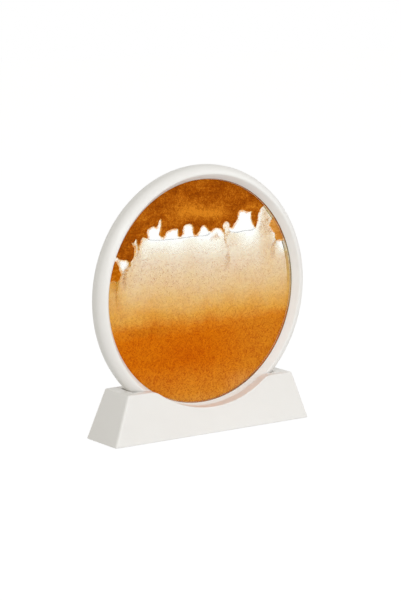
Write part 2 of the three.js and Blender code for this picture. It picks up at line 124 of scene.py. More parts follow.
def add_camera():
    """The photograph's camera. The ring's centre falls on CENTRE_PIXEL, a little off the middle."""
    yaw = math.atan((CENTRE_PIXEL[0] - FRAME_WIDTH / 2) / FOCAL_PIXELS)
    pitch = math.atan((FRAME_HEIGHT / 2 - CENTRE_PIXEL[1]) / FOCAL_PIXELS)
    matrix = Matrix.Rotation(AZIMUTH, 4, "Z") @ Matrix.Rotation(math.pi / 2 - ELEVATION, 4, "X")
    place = RING_CENTRE + matrix.col[2].xyz * CAMERA_DISTANCE
    for angle, axis in ((ROLL, "Z"), (yaw, "Y"), (-pitch, "X")):
        matrix = matrix @ Matrix.Rotation(angle, 4, axis)
    matrix.translation = place
    camera = add_object("camera", bpy.data.cameras.new("camera"))
    camera.matrix_world = matrix
    camera.data.sensor_width = SENSOR_WIDTH
    camera.data.lens = FOCAL_PIXELS * SENSOR_WIDTH / FRAME_HEIGHT
    camera.data.clip_start = 10 * MM
    bpy.context.scene.camera = camera


add_camera()


# Materials

class Nodes:
    """Builds a node tree with short calls."""

    def __init__(self, tree, owner):
        self.tree = tree
        self.owner = owner
        tree.nodes.clear()

    def finish(self, shader, kind="OutputMaterial"):
        """Sends the shader node to the surface and returns the material or world."""
        self.put(self.add(kind).inputs["Surface"], shader.outputs[0])
        return self.owner

    def add(self, kind, inputs=None, **settings):
        node = self.tree.nodes.new("ShaderNode" + kind)
        for key, value in settings.items():
            setattr(node, key, value)
        for key, value in (inputs or {}).items():
            self.put(node.inputs[key], value)
        return node

    def put(self, socket, value):
        if isinstance(value, bpy.types.NodeSocket):
            self.tree.links.new(value, socket)
        else:
            socket.default_value = value

    def math(self, operation, a, b=0, clamp=False):
        return self.add("Math", {0: a, 1: b}, operation=operation, use_clamp=clamp).outputs[0]

    def vector(self, operation, inputs):
        return self.add("VectorMath", inputs, operation=operation).outputs

    def chain(self, operation, result, *values):
        for value in values:
            result = self.math(operation, result, value)
        return result

    def times(self, *values):
        return self.chain("MULTIPLY", *values)

    def total(self, *values):
        return self.chain("ADD", *values)

    def mix(self, factor, a, b):
        """Colour a where factor is 0, colour b where it is 1."""
        return self.add("Mix", {"Factor": factor, 6: a, 7: b}, data_type="RGBA").outputs[2]

    def span(self, value, low, high, to_low=0, to_high=1, smooth=False):
        """The value carried over from low..high to to_low..to_high, and held at the ends."""
        inputs = {"Value": value, "From Min": low, "From Max": high, "To Min": to_low, "To Max": to_high}
        curve = "SMOOTHSTEP" if smooth else "LINEAR"
        return self.add("MapRange", inputs, interpolation_type=curve, clamp=True).outputs["Result"]

    def place(self):
        """The point on the piece in millimetres, from the part's origin at rest."""
        coords = self.add("TexCoord").outputs["Object"]
        return self.vector("SCALE", {0: coords, "Scale": 1 / MM})[0]

    def noise(self, point, size, detail=2, roughness=0.5, stretch=(1, 1, 1), shift=(0, 0, 0)):
        """Noise whose features are about size mm across, from 0 to 1."""
        scale = tuple(s / size for s in stretch)
        mapped = self.add("Mapping", {"Vector": point, "Scale": scale, "Location": shift})
        inputs = {"Vector": mapped.outputs[0], "Scale": 1, "Detail": detail, "Roughness": roughness}
        return self.add("TexNoise", inputs).outputs["Fac"]

    def ramp(self, value, stops):
        """A colour by value, from stops of (place from 0 to 1, colour)."""
        node = self.add("ValToRGB", {"Fac": value})
        elements = node.color_ramp.elements
        elements.remove(elements[1])
        elements[0].position, elements[0].color = stops[0]
        for position, colour in stops[1:]:
            elements.new(position).color = colour
        return node.outputs["Color"]

    def bump(self, height, distance, strength=1):
        """A normal from a height of 0 to 1, which stands for distance mm."""
        inputs = {"Height": height, "Distance": distance * MM, "Strength": strength}
        return self.add("Bump", inputs).outputs[0]


def new_material(name):
    """The node builder of a new material. Its finish returns the material."""
    material = bpy.data.materials.new(name)
    material.use_nodes = True
    return Nodes(material.node_tree, material)


CLOUD_SIZE, GLOSS_SIZE, GLOSS_SPREAD = 26, 9, 0.05


def moulded(name, light_rgb, dark_rgb, roughness, texture_size, texture_depth, metallic=0, specular=0.5):
    """Moulded plastic, rubber or steel: a faint cloud in the colour, fine texture in mm and uneven gloss."""
    n = new_material(name)
    point = n.place()
    colour = n.mix(n.noise(point, CLOUD_SIZE, 3), linear(dark_rgb), linear(light_rgb))
    texture = n.noise(point, texture_size, 3, 0.6)
    sheen = n.noise(point, GLOSS_SIZE, 3)
    shader = n.add("BsdfPrincipled", {
        "Base Color": colour,
        "Roughness": n.span(sheen, 0.3, 0.7, roughness - GLOSS_SPREAD, roughness + GLOSS_SPREAD),
        "Metallic": metallic,
        "Specular IOR Level": specular,
        "Normal": n.bump(texture, texture_depth),
    })
    return n.finish(shader)


WHITE = moulded("white_plastic_look", (241, 239, 235), (237, 234, 229), 0.34, 0.5, 0.006)
RUBBER = moulded("seal_rubber_look", (172, 160, 128), (154, 142, 112), 0.6, 0.4, 0.02, specular=0.3)
GREY_RUBBER = moulded("foot_rubber_look", (186, 183, 177), (176, 173, 167), 0.75, 0.35, 0.05, specular=0.3)
STEEL = moulded("screw_steel_look", (186, 187, 189), (170, 171, 174), 0.3, 0.3, 0.01, metallic=1)

STREAK_SIZE, STREAK_ROUGHNESS = 18, (0.03, 0.06)
MIRROR_FROM, MIRROR_CURVE = 0.42, 1.6


def clear_look(name, tint, gloss):
    """A thin clear layer with an anti-glare face: no mirror image from the front, and more at a low angle."""
    n = new_material(name)
    streaks = n.noise(n.place(), STREAK_SIZE, 2, stretch=(1, 1, 0.4))
    through = n.add("BsdfTransparent", {"Color": tint})
    mirror = n.add("BsdfAnisotropic", {
        "Color": (1, 1, 1, 1), "Roughness": n.span(streaks, 0.35, 0.65, *STREAK_ROUGHNESS),
    })
    facing = n.add("LayerWeight", {"Blend": 0.5}).outputs["Facing"]
    share = n.times(n.math("POWER", n.span(facing, MIRROR_FROM, 1), MIRROR_CURVE), gloss)
    mixed = n.add("MixShader", {0: share, 1: through.outputs[0], 2: mirror.outputs[0]})
    return n.finish(mixed)


GLASS = clear_look("pane_look", (0.998, 1, 0.999, 1), 0.85)
WATER = clear_look("water_look", (1, 1, 1, 1), 0.1)


# Stage and light

WORLD_LIGHT = 0.435
WORLD_TINT = (1.02, 1, 0.92, 1)
FLOOR_HALF = 4
FLOOR_GREY = (0.86, 0.86, 0.86, 1)
FLOOR_GLOW, FLOOR_GLOW_SHARE = 1.12, 0.84
STAGE_WHITE = (1, 1, 1, 1)

# Lamps: name, direction from the ring, distance, width, height, energy, colour
COOL, PLAIN = (0.955, 0.98, 1.035), (1, 1, 1)
SOFTBOXES = [
    ("softbox_key", (-0.35, -0.86, 0.37), 1.6, 0.9, 0.5, 7.5, COOL),
    ("softbox_fill", (0.75, -0.6, 0.35), 1.8, 1, 1.2, 6, COOL),
    ("softbox_over", (-0.64, -0.42, 0.64), 1.7, 0.9, 0.9, 3, PLAIN),
    ("softbox_low", (0.05, -1, 0), 1.8, 1.2, 0.16, 2.2, COOL),
]


def seen(n):
    """1 for rays that show a surface, directly, in a mirror or through glass, and 0 for the others."""
    path = n.add("LightPath").outputs
    shown = n.math("ADD", path["Is Camera Ray"], path["Is Glossy Ray"])
    return n.math("ADD", shown, path["Is Transmission Ray"], clamp=True)


def add_world():
    """A white background that lights the scene less than it shows, and warmer."""
    world = bpy.data.worlds.new("studio")
    bpy.context.scene.world = world
    world.use_nodes = True
    n = Nodes(world.node_tree, world)
    shown = seen(n)
    sky = n.add("Background", {
        "Color": n.mix(shown, WORLD_TINT, STAGE_WHITE), "Strength": n.span(shown, 0, 1, WORLD_LIGHT, 1),
    })
    n.finish(sky, "OutputWorld")


def add_floor():
    """White paper, mostly glowing where it is seen, so that it shows only the softest shade."""
    n = new_material("floor_look")
    share = n.span(seen(n), 0, 1, 0, FLOOR_GLOW_SHARE)
    paper = n.add("BsdfDiffuse", {"Color": FLOOR_GREY})
    glow = n.add("Emission", {"Color": STAGE_WHITE, "Strength": FLOOR_GLOW})
    mixed = n.add("MixShader", {0: share, 1: paper.outputs[0], 2: glow.outputs[0]})
    half = FLOOR_HALF
    verts = [(-half, -half, 0), (half, -half, 0), (half, half, 0), (-half, half, 0)]
    floor = new_piece("floor", verts, [(0, 1, 2, 3)], n.finish(mixed))


def add_softbox(name, direction, distance, width, height, energy, colour):
    """A rectangular lamp that faces the ring from a direction."""
    lamp = bpy.data.lights.new(name, "AREA")
    lamp.shape = "RECTANGLE"
    lamp.size, lamp.size_y = width, height
    lamp.energy = energy
    lamp.color = colour
    obj = add_object(name, lamp)
    towards = Vector(direction).normalized()
    obj.location = RING_CENTRE + towards * distance
    obj.rotation_euler = towards.to_track_quat("Z", "Y").to_euler()


add_world()
add_floor()
for softbox in SOFTBOXES:
    add_softbox(*softbox)


# Ring

RING_RADIUS = 90
RIM_ROUND = 6.7
RIM_CENTRE = (83.3, -1.05)
RIM_WALL = 1.6
LIP_ROUND = 1.2
LIP_FOOT_Y = 2.6
LIP_SLOPE = math.radians(36)
SEAM_BREAK = 0.12
TONGUE_THICKNESS, TONGUE_LENGTH = 0.7, 1.2
REBATE_GAP, REBATE_DEPTH = 0.3, 1.5
RING_STEPS = 288
CREST_STEPS, RIM_STEPS, INNER_STEPS = 8, 26, 10


def arc(centre, radius, start, end, steps):
    angles = [start + (end - start) * i / steps for i in range(steps + 1)]
    return [(centre[0] + radius * math.cos(a), centre[1] + radius * math.sin(a)) for a in angles]


def shell_outline(lock):
    """The section of the ring's front half, as (radius, y). lock is the step at the joint of the halves."""
    slope = (math.sin(LIP_SLOPE), -math.cos(LIP_SLOPE))
    inward = (math.cos(LIP_SLOPE), math.sin(LIP_SLOPE))

    def reach(offset, distance):
        """The point at offset behind the lip's slope and at distance from the rim's centre."""
        start = (VIEW_RADIUS + inward[0] * offset, -LIP_FOOT_Y + inward[1] * offset)
        dx, dy = start[0] - RIM_CENTRE[0], start[1] - RIM_CENTRE[1]
        along = dx * slope[0] + dy * slope[1]
        travel = -along + math.sqrt(along ** 2 - dx * dx - dy * dy + distance ** 2)
        return (start[0] + slope[0] * travel, start[1] + slope[1] * travel)

    crest, inner = reach(LIP_ROUND, RIM_ROUND - LIP_ROUND), reach(RIM_WALL, RIM_ROUND - RIM_WALL)
    crest_end, inner_end = (math.atan2(p[1] - RIM_CENTRE[1], p[0] - RIM_CENTRE[0]) for p in (crest, inner))
    foot = (VIEW_RADIUS, -LIP_FOOT_Y)
    foot_round = [(foot[0] + dr, foot[1] + dy) for dr, dy in ((0.16, 0), (0.05, -0.05), (0.08, -0.18))]
    return [
        *foot_round,
        *arc(crest, LIP_ROUND, LIP_SLOPE - math.pi, crest_end, CREST_STEPS),
        *arc(RIM_CENTRE, RIM_ROUND, crest_end, 0, RIM_STEPS)[1:],
        (RING_RADIUS, -SEAM_BREAK),
        (RING_RADIUS - SEAM_BREAK, 0),
        *lock,
        *arc(RIM_CENTRE, RIM_ROUND - RIM_WALL, 0, inner_end, INNER_STEPS),
        (foot[0] + RIM_WALL / math.cos(LIP_SLOPE), foot[1]),
    ]


def add_ring():
    """Both halves. The front one has a tongue around its joint, the rear one the rebate for it."""
    tongue_in = RING_RADIUS - RIM_WALL
    tongue_out = tongue_in + TONGUE_THICKNESS
    rebate = tongue_out + REBATE_GAP
    tongue = [(tongue_out, 0), (tongue_out, TONGUE_LENGTH), (tongue_in, TONGUE_LENGTH)]
    recess = [(rebate, 0), (rebate, -REBATE_DEPTH), (tongue_in, -REBATE_DEPTH)]
    rear = [(r, -y) for r, y in reversed(shell_outline(recess))]
    for name, outline in (("ring_front", shell_outline(tongue)), ("ring_rear", rear)):
        verts, faces = lathe(outline, RING_STEPS)
        new_piece(name, verts, faces, WHITE, "ring", [f"{name}_shell"], TURNED_SHARP)


add_ring()


# Solids for the base, in millimetres until they are finished

BASE_BOTTOM_Z, BASE_TOP_Z = 0.8, 35.7
BASE_BOTTOM_HALF, BASE_TOP_HALF = (84.997, 18.9), (71.997, 15.1)
BASE_CORNER = 2
BASE_WALL = 2.2
WELL_RADIUS, WELL_HALF_WIDTH, WELL_SKIN = 90.3, 8.25, 1.8
SCOOP_RADIUS, SCOOP_SHOULDER = 80.8, 14
PLATE_TOP_Z, PAD_TOP_Z = 3.2, 5.2
RIB_PLACES, RIB_HALF, RIB_REACH = (-27, -9, 9, 27), 0.8, 30
SCREW_X, SCREW_Y = 53.997, 10.4
BOSS_RADIUS, SCREW_HOLE_RADIUS, SCREW_HOLE_TOP_Z = 3.4, 1.5, 16.2
INSIDE_TOP_Z = 50
CENTRE_Z = RING_CENTRE.z / MM
CUT_REACH = 10
CORNER_STEPS, POST_STEPS, WELL_STEPS = 6, 32, 256
SHOULDER_STEPS, SCOOP_STEPS = 14, 72

# Rounding of the base's edges: the width, its share at the slot's mouth, and the angles in degrees
EDGE_ROUND, EDGE_STEPS = 0.75, 4
SLOT_SHARE, SLOT_TOLERANCE = 0.3, 0.01
ROUNDED_FROM, FLAT_UNDER, BASE_SHARP = 28, 0.3, 30
WELD_DISTANCE = 0.002


def solid(verts, faces):
    mesh = bpy.data.meshes.new("solid")
    mesh.from_pydata(verts, [], faces)
    return add_object("solid", mesh)


def apply_modifiers(obj):
    graph = bpy.context.evaluated_depsgraph_get()
    mesh = bpy.data.meshes.new_from_object(obj.evaluated_get(graph))
    obj.modifiers.clear()
    obj.data = mesh


def cut(obj, *tools):
    """Takes the tools out of obj, one after the other."""
    for tool in tools:
        modifier = obj.modifiers.new("cut", "BOOLEAN")
        modifier.operation = "DIFFERENCE"
        modifier.solver = "EXACT"
        modifier.object = tool
        apply_modifiers(obj)
        bpy.data.objects.remove(tool)
    return obj


def prism(outline, y0, y1):
    """An outline of (x, z) pairs, anticlockwise from the front, between two depths."""
    count = len(outline)
    verts = [(x, y, z) for y in (y0, y1) for x, z in outline]
    sides = [(i, count + i, count + (i + 1) % count, (i + 1) % count) for i in range(count)]
    return solid(verts, [tuple(range(count)), tuple(reversed(range(count, 2 * count))), *sides])


def post(radius, z0, z1, x, y):
    ring = arc((x, y), radius, 0, 2 * math.pi, POST_STEPS)[:-1]
    return solid(*sweep([[(px, py, z) for px, py in ring] for z in (z0, z1)]))


def base_section(z, inset):
    """The base's outline at height z, moved in by inset."""
    rise = (z - BASE_BOTTOM_Z) / (BASE_TOP_Z - BASE_BOTTOM_Z)
    half_x, half_y = (a + (b - a) * rise - inset for a, b in zip(BASE_BOTTOM_HALF, BASE_TOP_HALF))
    ring = []
    for quarter in range(4):
        sign_x, sign_y = (1 if quarter in (0, 3) else -1), (1 if quarter < 2 else -1)
        for step in range(CORNER_STEPS + 1):
            angle = (quarter + step / CORNER_STEPS) * math.pi / 2
            ring.append((
                sign_x * (half_x - BASE_CORNER) + BASE_CORNER * math.cos(angle),
                sign_y * (half_y - BASE_CORNER) + BASE_CORNER * math.sin(angle), z,
            ))
    return ring


def well(margin):
    """The disc that is cut out for the ring. Its flats touch the true circle from outside."""
    radius = (WELL_RADIUS + margin) / math.cos(math.pi / WELL_STEPS)
    half = WELL_HALF_WIDTH + margin
    outline = arc((0, CENTRE_Z), radius, 0, 2 * math.pi, WELL_STEPS)[:-1]
    return prism(outline, -half, half)


def scoop(offset):
    """The hollow of the front and back walls: an arc about the ring's centre with round shoulders."""
    shoulder_z = BASE_TOP_Z - SCOOP_SHOULDER
    rise = CENTRE_Z - shoulder_z
    shoulder_x = math.sqrt((SCOOP_RADIUS + SCOOP_SHOULDER) ** 2 - rise ** 2)
    turn = math.atan2(rise, shoulder_x)
    top = BASE_TOP_Z + CUT_REACH
    shoulder = SCOOP_SHOULDER - offset
    outline = [
        (-shoulder_x, top),
        *arc((-shoulder_x, shoulder_z), shoulder, math.pi / 2, turn, SHOULDER_STEPS),
        *arc((0, CENTRE_Z), SCOOP_RADIUS + offset, math.pi + turn, 2 * math.pi - turn, SCOOP_STEPS)[1:],
        *arc((shoulder_x, shoulder_z), shoulder, math.pi - turn, math.pi / 2, SHOULDER_STEPS)[1:],
        (shoulder_x, top),
    ]
    reach = BASE_BOTTOM_HALF[1] + CUT_REACH
    return prism(outline, -reach, reach)


def mark_round_edges(mesh):
    """Weights the outward edges for rounding, less around the slot. Inward edges stay as they are."""
    bm = bmesh.new()
    bm.from_mesh(mesh)
    bmesh.ops.remove_doubles(bm, verts=bm.verts, dist=WELD_DISTANCE)
    bmesh.ops.dissolve_limit(bm, angle_limit=math.radians(FLAT_UNDER), verts=bm.verts, edges=bm.edges)
    weights = bm.edges.layers.float.new("bevel_weight_edge")
    for edge in bm.edges:
        if edge.is_convex and edge.calc_face_angle(0) > math.radians(ROUNDED_FROM):
            at_slot = all(abs(v.co.y) < WELL_HALF_WIDTH + SLOT_TOLERANCE for v in edge.verts)
            edge[weights] = SLOT_SHARE if at_slot else 1.0
    bm.to_mesh(mesh)
    bm.free()


def hollow_base(block):
    """Takes the inside out of the block, and leaves the slot's skin, the ribs and the screw bosses."""
    low, high = BASE_BOTTOM_Z - CUT_REACH, BASE_TOP_Z - BASE_WALL
    hollow = solid(*sweep([base_section(low, BASE_WALL), base_section(high, BASE_WALL)]))
    ribs = []
    for x in RIB_PLACES:
        left, right = x - RIB_HALF, x + RIB_HALF
        outline = [(left, PLATE_TOP_Z), (right, PLATE_TOP_Z), (right, INSIDE_TOP_Z), (left, INSIDE_TOP_Z)]
        ribs.append(prism(outline, -RIB_REACH, RIB_REACH))
    screws = [(x, y) for y in (-SCREW_Y, SCREW_Y) for x in (-SCREW_X, SCREW_X)]
    bosses = [post(BOSS_RADIUS, PAD_TOP_Z, INSIDE_TOP_Z, x, y) for x, y in screws]
    cut(hollow, well(WELL_SKIN), scoop(BASE_WALL), *ribs, *bosses)
    holes = [post(SCREW_HOLE_RADIUS, PAD_TOP_Z - CUT_REACH, SCREW_HOLE_TOP_Z, x, y) for x, y in screws]
    cut(block, hollow, *holes)


def add_base():
    block = solid(*sweep([base_section(BASE_BOTTOM_Z, 0), base_section(BASE_TOP_Z, 0)]))
    cut(block, well(0), scoop(0))
    mark_round_edges(block.data)
    bevel = block.modifiers.new("edges", "BEVEL")
    bevel.width = EDGE_ROUND
    bevel.segments = EDGE_STEPS
    bevel.limit_method = "WEIGHT"
    bevel.use_clamp_overlap = False
    apply_modifiers(block)
    hollow_base(block)
    mesh = block.data
    mesh.transform(Matrix.Scale(MM, 4))
    mesh.materials.clear()
    mesh.materials.append(WHITE)
    smooth_faces(mesh, BASE_SHARP)
    normals = block.modifiers.new("normals", "WEIGHTED_NORMAL")
    normals.keep_sharp = True
    normals.weight = 100
    block.name = "base_body"
    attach(block, "base")
    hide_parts("base_shell")


add_base()


# Sand sheets. Places are (x, z) in mm from the ring's centre.

FRONT_Y, BACK_Y = -1.2, 0

UPPER_EDGE = [
    (-73.4, 30.4), (-71.8, 29.6), (-69.3, 28.1), (-64.1, 27.4), (-61.1, 25.3), (-58, 28.8), (-57.5, 33.2),
    (-57.1, 35.3), (-59.9, 39.2), (-58.1, 38.8), (-56.1, 41.5), (-55.2, 38.3), (-54.4, 34.7), (-53.9, 36.6),
    (-52.4, 37.7), (-51.4, 41.6), (-49.8, 42.1), (-46.3, 41.5), (-46.5, 46.6), (-44.4, 48.4), (-41.7, 49.2),
    (-39, 48.4), (-37.4, 50.8), (-35.8, 54.4), (-34.7, 51.9), (-35, 47), (-36.1, 43.5), (-35.6, 41.9),
    (-33.6, 40.7), (-32.2, 41.7), (-30.6, 44.4), (-27.1, 45.7), (-23.3, 46.3), (-20.3, 45.5), (-20.5, 41.4),
    (-18.4, 40.1), (-16.4, 42.9), (-15.9, 46.9), (-14, 48.3), (-11.3, 48.4), (-8, 47.2), (-7.4, 44),
    (-6.8, 41), (-5.2, 40.4), (-3.8, 41), (-2.3, 43.2), (-0.7, 45.7), (1.6, 47.1), (3.8, 45.8),
    (6.1, 42.9), (8, 41.9), (9.4, 42.9), (12.7, 44.3), (16.1, 43.7), (17.9, 42), (19.6, 40.1),
    (19.2, 43.3), (18.6, 45.6), (21.2, 48.6), (24.6, 45.4), (24.2, 43.8), (26.9, 43.4), (28.6, 45.4),
    (31.4, 48.8), (31.9, 53.3), (34.7, 55.2), (39.9, 53.7), (43.9, 53.4), (44, 48.8), (45.5, 44.5),
    (47.7, 41.9), (49.2, 46.1), (50, 51.1), (52, 54.7), (54.3, 56.8),
]
UPPER_OUTSIDE = [(62, 64), (66, 110), (-66, 110), (-96, 60), (-84, 33)]
BED_LINE = [
    (-90, -19.8), (-76.8, -20.5), (-61.8, -21.4), (-36.5, -21.9), (2.5, -22.4), (42.8, -21.5), (90, -19),
]
LEFT_LUMP = [
    (-73.6, 27.4), (-71.7, 25.8), (-69.9, 21.6), (-68.6, 18.4), (-69.9, 15), (-72, 13), (-73.6, 14),
    (-76.7, 13.8), (-84, 13.5), (-84, 29),
]
RIGHT_LUMP = [
    (63.1, 46.5), (60.6, 43), (63.2, 39), (65.7, 35.6), (66.9, 31.7), (72.8, 31.3), (82, 31), (82, 52),
    (66, 51),
]
MIST_EDGE = [
    (-90, 16.5), (-74, 16.2), (-71.4, 20), (-71.6, 25), (-72.4, 28.4), (-69.3, 28.6), (-64.1, 27.8),
    (-61.2, 25.8), (-58.6, 27.2), (-58.4, 33), (-60.4, 38.6), (-57.4, 40.4), (-55, 39), (-51.6, 42.6),
    (-46.6, 41.8), (-45.4, 39.5), (-35, 38.8), (-18, 38.9), (2, 39.1), (7.4, 40), (8.6, 42.8), (13, 44.8),
    (17.6, 42.8), (19, 46), (21.3, 49), (24.8, 45.6), (24.6, 42.4), (27, 40), (31.5, 39.3), (38, 39.8),
    (44, 39.8), (47.6, 40.8), (49.6, 46), (50.5, 51), (52.4, 54.7), (54.6, 56.9), (56.2, 60), (64, 52),
    (63, 46.5), (60.4, 43), (63, 39), (65.5, 35.5), (66.5, 31.6), (70, 31.2), (90, 31), (90, -26), (-90, -26),
]


def smooth_line(points, steps, closed=True):
    """A line that passes through the points in soft curves, with steps places from one point to the next."""
    points = np.array(points, float)
    count = len(points)
    line = []
    for i in range(count if closed else count - 1):
        around = np.arange(i - 1, i + 3)
        p0, p1, p2, p3 = points[around % count if closed else np.clip(around, 0, count - 1)]
        for step in range(steps):
            t = step / steps
            line.append(0.5 * (2 * p1 + (p2 - p0) * t + (2 * p0 - 5 * p1 + 4 * p2 - p3) * t * t
                               + (3 * p1 - p0 - 3 * p2 + p3) * t ** 3))
    if not closed:
        line.append(points[-1])
    return np.array(line)


def nearest(x, z, line):
    """Distance to an open line and the share of the line passed at the nearest point."""
    best, passed = np.full(x.shape, 1e9), np.zeros(x.shape)
    for i in range(len(line) - 1):
        (ax, az), (bx, bz) = line[i], line[i + 1]
        dx, dz = bx - ax, bz - az
        t = np.clip(((x - ax) * dx + (z - az) * dz) / max(dx * dx + dz * dz, 1e-9), 0, 1)
        distance = np.hypot(x - ax - t * dx, z - az - t * dz)
        closer = distance < best
        best = np.where(closer, distance, best)
        passed = np.where(closer, (i + t) / (len(line) - 1), passed)
    return best, passed


def inside_distance(x, z, outline):
    """Distance to a closed outline, positive inside."""
    line = np.vstack([outline, outline[:1]])
    distance, _ = nearest(x, z, line)
    odd = np.zeros(x.shape, bool)
    for (ax, az), (bx, bz) in zip(line[:-1], line[1:]):
        if az != bz:
            odd ^= ((az > z) != (bz > z)) & (x < ax + (z - az) * (bx - ax) / (bz - az))
    return np.where(odd, distance, -distance)


def wobble(x, z, size, seed):
    """Seeded smooth noise from -1 to 1, with waves about size mm long."""
    cells = 64
    table = np.random.default_rng(seed).uniform(-1, 1, (cells, cells))
    u, v = x / size, z / size
    i, j = np.floor(u).astype(int), np.floor(v).astype(int)
    fu, fv = u - i, v - j
    fu, fv = fu * fu * (3 - 2 * fu), fv * fv * (3 - 2 * fv)
    i, i_next, j, j_next = i % cells, (i + 1) % cells, j % cells, (j + 1) % cells
    low = table[i, j] * (1 - fu) + table[i_next, j] * fu
    high = table[i, j_next] * (1 - fu) + table[i_next, j_next] * fu
    return low * (1 - fv) + high * fv


COARSE_TEETH, FINE_TEETH = 2.6, 0.9


def ragged(x, z, seed, coarse=0.35, fine=0.25):
    """What makes an edge ragged: mm by which it moves, as coarse and fine teeth."""
    return coarse * wobble(x, z, COARSE_TEETH, seed) + fine * wobble(x, z, FINE_TEETH, seed + 1)


def numbered(mask, first):
    """Numbers from first on where the mask is true, and -1 elsewhere."""
    return np.where(mask, np.cumsum(mask).reshape(mask.shape) - 1 + first, -1)


def window_around(line, margin):
    """A window for a sheet around a line, inside the view: x from and to, z from and to."""
    x0, z0 = np.maximum(np.min(line, axis=0) - margin, -WINDOW_LIMIT)
    x1, z1 = np.minimum(np.max(line, axis=0) + margin, WINDOW_LIMIT)
    return x0, x1, z0, z1


WINDOW_LIMIT = 80
CROSSING_LIMITS = (0.04, 0.96)
SHOULDER_SHARE = 0.45
LONG_WAVE, SHORT_WAVE = 6, 1.7
THINNEST = 0.1
SHEET_SHARP = 55


def sheet(name, field, window, spacing, material, nodes=(), front=FRONT_Y, back=BACK_Y,
          round_to=0.8, relief=0, seed=0, cover=None):
    """A flat body of sand where field(x, z) is positive, with rounded front edges and a soft relief.

    window is x from and to, z from and to; front may be a function. The mesh keeps each point's distance from
    the free edge as edge_mm, and as cover the share of the view that is covered, in front only.
    """
    x0, x1, z0, z1 = window
    x, z = np.meshgrid(np.arange(x0, x1 + spacing, spacing), np.arange(z0, z1 + spacing, spacing))
    free = field(x, z)
    value = np.minimum(free, SEAL_INNER - np.hypot(x, z))
    grid = np.stack([x, z, free])
    inside = value > 0
    corner = numbered(inside, 0)
    count = int(inside.sum())
    points, crossings = [grid[:, inside]], []
    rows, columns = value.shape
    for di, dj in ((0, 1), (1, 0)):
        a, b = value[:rows - di, :columns - dj], value[di:, dj:]
        cross = (a > 0) != (b > 0)
        t = np.clip(a / np.where(cross, a - b, 1), *CROSSING_LIMITS)
        crossings.append(numbered(cross, count))
        count += int(cross.sum())
        near, far = grid[:, :rows - di, :columns - dj], grid[:, di:, dj:]
        points.append((near + t * (far - near))[:, cross])
    across, upward = crossings
    low, high = slice(None, -1), slice(1, None)
    places = ((low, low), (low, high), (high, high), (high, low))
    filled = np.stack([inside[place] for place in places], -1)
    corners = np.stack([corner[place] for place in places], -1)
    edges = np.stack([across[:-1], upward[:, 1:], across[1:], upward[:, :-1]], -1)
    whole = filled.all(-1)
    partly = filled.any(-1) & ~whole
    faces = [tuple(ids) for ids in corners[whole].tolist()]
    rim = []
    for corner_ids, edge_ids in zip(corners[partly].tolist(), edges[partly].tolist()):
        loop = []
        for pair in zip(corner_ids, edge_ids):
            loop += [(v, crossed) for v, crossed in zip(pair, (False, True)) if v >= 0]
        faces.append(tuple(v for v, _ in loop))
        pairs = zip(loop, loop[1:] + loop[:1])
        rim += [(a, b) for (a, a_cross), (b, b_cross) in pairs if a_cross and b_cross]
    px, pz, pd = np.concatenate(points, axis=1)
    if callable(front):
        front = front(px, pz)
    depth = back - front
    edge = np.clip(1 - pd / round_to, 0, 1)
    shoulder = depth * SHOULDER_SHARE * (1 - np.sqrt(1 - edge ** 2))
    swell = 0.6 * wobble(px, pz, LONG_WAVE, seed + 20) + 0.4 * wobble(px, pz, SHORT_WAVE, seed + 21)
    waves = relief * (swell + 1) / 2
    front_y = np.minimum(front + shoulder + waves, back - THINNEST)
    total = len(px)
    verts = np.empty((2 * total, 3))
    verts[:, 0] = np.tile(px, 2) * MM
    verts[:, 1] = np.concatenate([front_y, np.full(total, back)]) * MM
    verts[:, 2] = np.tile(pz, 2) * MM + RING_CENTRE.z
    back_faces = [tuple(v + total for v in reversed(f)) for f in faces]
    walls = [(b, a, a + total, b + total) for a, b in rim]
    faces += back_faces + walls
    piece = new_piece(name, verts.tolist(), faces, material, "ring", nodes, SHEET_SHARP)
    front_cover = np.ones(total) if cover is None else cover(px, pz)
    values = {"edge_mm": np.tile(pd, 2), "cover": np.concatenate([front_cover, np.zeros(total)])}
    for key, value in values.items():
        piece.data.attributes.new(key, "FLOAT", "POINT").data.foreach_set("value", value.astype(np.float32))
    return piece


# Sand materials

CLUMP_SIZE, SMALL_CLUMP_SIZE, GRAIN_SIZE = 3.2, 1.6, 0.75
SQUARE_MEAN = 0.333
SAND_GAIN = 1.16
GRAIN_BUMP, PACKED_BUMP = 0.03, 0.07

# Colour of the falling and settled sand over white, by height
FALL = [
    (37, (255, 255, 253)), (31, (245, 239, 224)), (22, (231, 213, 186)), (10, (226, 199, 158)),
    (-5, (218, 177, 112)), (-16, (210, 151, 64)), (-24, (203, 119, 26)), (-30, (197, 103, 9)),
    (-50, (197, 103, 9)), (-72, (202, 124, 34)), (-79, (207, 139, 54)),
]
FALL_LOW, FALL_HIGH = -80, 42
COVER_GAIN = 1.13

# Places with more falling sand, or less where the drop is negative: x of the middle, half width, drop of the
# height that sets the density, and the heights between which the drop sets in
DENSE_PLACES = [
    (-80, 24, 14, -16, 4), (-74, 8, 16, 5, 12), (-62, 6, 7, 9, 17), (-56, 9, 8, 10, 30), (-49, 7, 7, 32, 40),
    (-10, 12, 4, 4, 22), (-66.5, 8, -22, 15, 23), (27, 16, 11, 26, 36), (56, 12, 12, 20, 38),
    (60, 11, 9, 6, 20), (57, 9, 11, 40, 58), (73, 8, -16, 19, 28), (-40, 30, 2.5, -30, -24),
]

# Tones of the seal's face from its lowest to its highest point: they follow the sand beside it and are
# written lighter, as painted light against the shade between the panes
SEAL_TONES = [
    (0, (249, 137, 48)), (0.345, (243, 140, 50)), (0.42, (250, 196, 118)), (0.52, (254, 221, 165)),
    (0.67, (250, 226, 182)), (0.71, (228, 138, 58)), (1, (206, 116, 36)),
]
SEAL_EDGE_TONE = (255, 250, 238)


